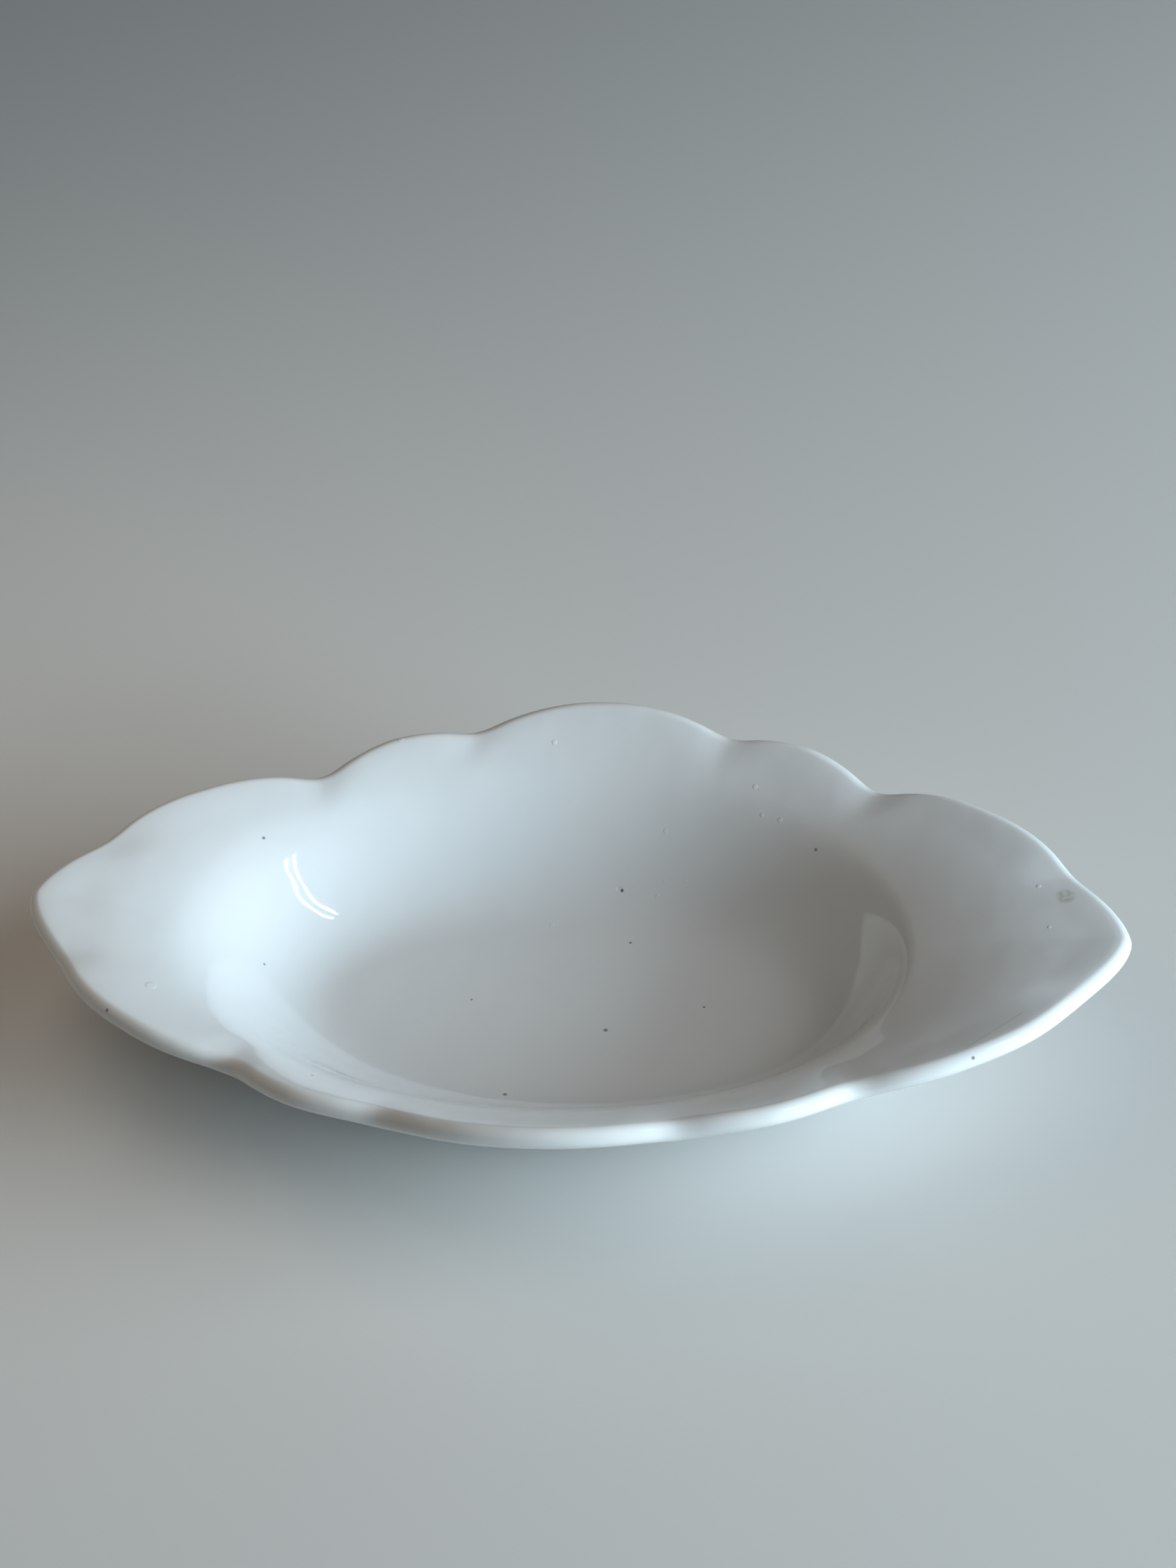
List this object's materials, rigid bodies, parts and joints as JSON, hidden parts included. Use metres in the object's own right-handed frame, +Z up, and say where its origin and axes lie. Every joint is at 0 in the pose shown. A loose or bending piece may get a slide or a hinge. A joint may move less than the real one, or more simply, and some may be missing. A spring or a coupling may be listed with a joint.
{
  "type": "scalloped oval serving dish",
  "caption": "Deep boat-shaped oval serving dish in white glazed ironstone, with a broad lobed rim that rises from the ends to the sides, on an oval foot ring.",
  "frame": {"origin": "centre of the foot's standing edge, on the surface that the dish stands on", "axes": "+X along the dish from its middle to the end lobe whose side of the verge is crisp, +Y across it to one side lobe, +Z up out of the well"},
  "size_m": [0.24, 0.144, 0.0389],
  "materials": {
    "fired_clay": "dense white earthenware, fired and bare, fine and matt; it shows only on the standing edge of the foot",
    "white_glaze": "old white glaze with a faint blue cast, glossy, slightly uneven, with a few pits, specks and one brown stain"
  },
  "bodies": {
    "root": {"dish_body": "fired_clay", "foot_ring": "fired_clay", "glaze": "white_glaze", "base_glaze": "white_glaze"}
  },
  "joints": []
}
